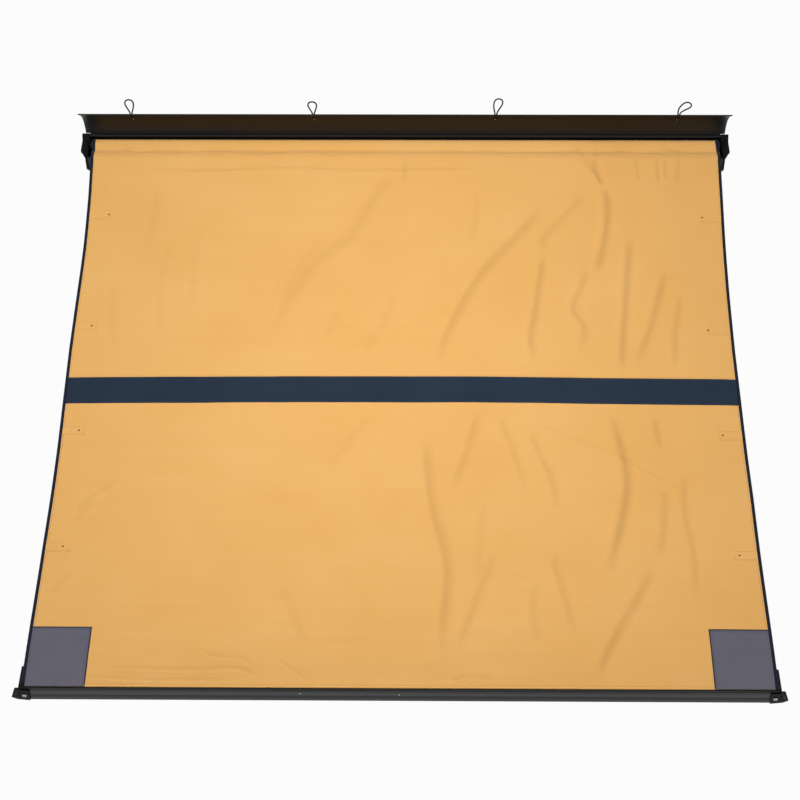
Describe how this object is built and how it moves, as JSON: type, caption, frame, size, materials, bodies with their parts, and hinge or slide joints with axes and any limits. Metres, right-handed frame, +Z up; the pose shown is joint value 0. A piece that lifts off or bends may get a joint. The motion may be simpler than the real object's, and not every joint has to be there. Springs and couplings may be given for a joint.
{
  "type": "vehicle side awning",
  "caption": "Cassette side awning for a roof rack: spring roller under a hinged curved lid, fabric canopy, and a lead rail with folding telescopic legs and rafters.",
  "frame": {"origin": "middle of the housing's flat back face, halfway along the awning and between its two rack slots", "axes": "+X along the awning, +Y towards the vehicle, out of the back face, +Z up"},
  "size_m": [2.2016, 2.0723, 0.6262],
  "materials": {
    "black_aluminium": "satin black powder coat",
    "grey_aluminium": "satin dark grey powder coat",
    "black_nylon": "moulded glass-filled nylon",
    "steel": "zinc plated",
    "tube": "satin anodised",
    "ochre_fabric": "coated canvas, ochre yellow",
    "navy_fabric": "coated canvas, navy",
    "grey_fabric": "coated canvas, slate grey",
    "piping": "woven edge binding, near black",
    "elastic": "braided elastic cord, black",
    "rubber": "moulded rubber"
  },
  "bodies": {
    "housing": {"housing_trough": "black_aluminium", "lid_hinge_rod": "steel", "canopy_rear_panel": "ochre_fabric", "canopy_middle_strip": "navy_fabric", "canopy_front_panel": "ochre_fabric", "end_cap_left": "black_nylon", "roller_bush_left": "black_nylon", "rafter_socket_left": "black_nylon", "corner_patch_left": "grey_fabric", "edge_piping_left": "piping", "end_cap_right": "black_nylon", "roller_bush_right": "black_nylon", "rafter_socket_right": "black_nylon", "corner_patch_right": "grey_fabric", "edge_piping_right": "piping"},
    "lid": {"lid_shell": "black_aluminium", "stow_loop_1": "elastic", "stow_loop_2": "elastic", "stow_loop_3": "elastic", "stow_loop_4": "elastic"},
    "roller": {"roller_tube": "tube", "roller_plug_left": "black_nylon", "roller_plug_right": "black_nylon"},
    "lead_rail": {"rail_extrusion": "grey_aluminium", "keder_rod": "ochre_fabric", "rail_end_bracket_left": "black_nylon", "leg_pivot_bolt_left": "steel", "rafter_pivot_bolt_left": "steel", "rail_end_bracket_right": "black_nylon", "leg_pivot_bolt_right": "steel", "rafter_pivot_bolt_right": "steel"},
    "leg_left": {"leg_hinge_block_left": "black_nylon", "leg_outer_tube_left": "tube", "leg_upper_clamp_left": "black_nylon"},
    "leg_upper_lever_left": {"leg_upper_lever_left": "black_nylon"},
    "leg_middle_left": {"leg_middle_tube_left": "tube", "leg_lower_clamp_left": "black_nylon"},
    "leg_lower_lever_left": {"leg_lower_lever_left": "black_nylon"},
    "leg_inner_left": {"leg_inner_tube_left": "tube", "leg_foot_left": "rubber"},
    "rafter_left": {"rafter_outer_tube_left": "tube", "rafter_clamp_left": "black_nylon"},
    "rafter_lever_left": {"rafter_lever_left": "black_nylon"},
    "rafter_inner_left": {"rafter_inner_tube_left": "tube", "rafter_tip_left": "black_nylon"},
    "leg_right": {"leg_hinge_block_right": "black_nylon", "leg_outer_tube_right": "tube", "leg_upper_clamp_right": "black_nylon"},
    "leg_upper_lever_right": {"leg_upper_lever_right": "black_nylon"},
    "leg_middle_right": {"leg_middle_tube_right": "tube", "leg_lower_clamp_right": "black_nylon"},
    "leg_lower_lever_right": {"leg_lower_lever_right": "black_nylon"},
    "leg_inner_right": {"leg_inner_tube_right": "tube", "leg_foot_right": "rubber"},
    "rafter_right": {"rafter_outer_tube_right": "tube", "rafter_clamp_right": "black_nylon"},
    "rafter_lever_right": {"rafter_lever_right": "black_nylon"},
    "rafter_inner_right": {"rafter_inner_tube_right": "tube", "rafter_tip_right": "black_nylon"}
  },
  "joints": [
    {"name": "lid_fold", "type": "hinge", "parent": "housing", "child": "lid", "pos_m": [0, -0.0125, 0.056], "axis": [1, 0, 0], "range_deg": [0, 79]},
    {"name": "roller_turn", "type": "hinge", "parent": "housing", "child": "roller", "pos_m": [0, -0.038, 0.0265], "axis": [-1, 0, 0], "continuous": true},
    {"name": "rail_slide", "type": "slide", "parent": "housing", "child": "lead_rail", "axis": [0, 0.9829, 0.1842], "range_m": [0, 1.8934], "deforming": ["canopy_rear_panel", "canopy_middle_strip", "canopy_front_panel", "corner_patch_left", "corner_patch_right", "edge_piping_left", "edge_piping_right"]},
    {"name": "leg_fold_left", "type": "hinge", "parent": "lead_rail", "child": "leg_left", "pos_m": [-1.0575, -2.05, -0.3539], "axis": [0, -1, 0], "range_deg": [-90, 0]},
    {"name": "leg_upper_slide_left", "type": "slide", "parent": "leg_left", "child": "leg_middle_left", "axis": [-1, 0, 0], "range_m": [-0.66, 0]},
    {"name": "leg_lower_slide_left", "type": "slide", "parent": "leg_middle_left", "child": "leg_inner_left", "axis": [-1, 0, 0], "range_m": [-0.68, 0]},
    {"name": "leg_upper_lever_turn_left", "type": "hinge", "parent": "leg_left", "child": "leg_upper_lever_left", "pos_m": [-0.2786, -2.059, -0.3681], "axis": [1, 0, 0], "range_deg": [-90, 0]},
    {"name": "leg_lower_lever_turn_left", "type": "hinge", "parent": "leg_middle_left", "child": "leg_lower_lever_left", "pos_m": [-0.248, -2.059, -0.3666], "axis": [1, 0, 0], "range_deg": [-90, 0]},
    {"name": "rafter_swing_left", "type": "hinge", "parent": "lead_rail", "child": "rafter_left", "pos_m": [-1.0575, -2.0001, -0.3424], "axis": [0, 0.1101, -0.9939], "range_deg": [-90, 0]},
    {"name": "rafter_slide_left", "type": "slide", "parent": "rafter_left", "child": "rafter_inner_left", "axis": [-1, 0, 0], "range_m": [-0.8677, 0]},
    {"name": "rafter_lever_turn_left", "type": "hinge", "parent": "rafter_left", "child": "rafter_lever_left", "pos_m": [-0.0626, -1.9872, -0.34802], "axis": [1, 0, 0], "range_deg": [-90, 0]},
    {"name": "leg_fold_right", "type": "hinge", "parent": "lead_rail", "child": "leg_right", "pos_m": [1.0575, -2.0253, -0.3539], "axis": [0, 1, 0], "range_deg": [-90, 0]},
    {"name": "leg_upper_slide_right", "type": "slide", "parent": "leg_right", "child": "leg_middle_right", "axis": [1, 0, 0], "range_m": [-0.66, 0]},
    {"name": "leg_lower_slide_right", "type": "slide", "parent": "leg_middle_right", "child": "leg_inner_right", "axis": [1, 0, 0], "range_m": [-0.68, 0]},
    {"name": "leg_upper_lever_turn_right", "type": "hinge", "parent": "leg_right", "child": "leg_upper_lever_right", "pos_m": [0.2786, -2.0343, -0.3681], "axis": [1, 0, 0], "range_deg": [-90, 0]},
    {"name": "leg_lower_lever_turn_right", "type": "hinge", "parent": "leg_middle_right", "child": "leg_lower_lever_right", "pos_m": [0.248, -2.0343, -0.3666], "axis": [1, 0, 0], "range_deg": [-90, 0]},
    {"name": "rafter_swing_right", "type": "hinge", "parent": "lead_rail", "child": "rafter_right", "pos_m": [1.0575, -2.0001, -0.3616], "axis": [0, -0.12, 0.9928], "range_deg": [-90, 0]},
    {"name": "rafter_slide_right", "type": "slide", "parent": "rafter_right", "child": "rafter_inner_right", "axis": [1, 0, 0], "range_m": [-0.8699, 0]},
    {"name": "rafter_lever_turn_right", "type": "hinge", "parent": "rafter_right", "child": "rafter_lever_right", "pos_m": [0.0626, -1.98715, -0.36709], "axis": [1, 0, 0], "range_deg": [-90, 0]}
  ],
  "couplings": [
    {"joint": "roller_turn", "follows": "rail_slide", "rad_per_m": 47.393}
  ]
}
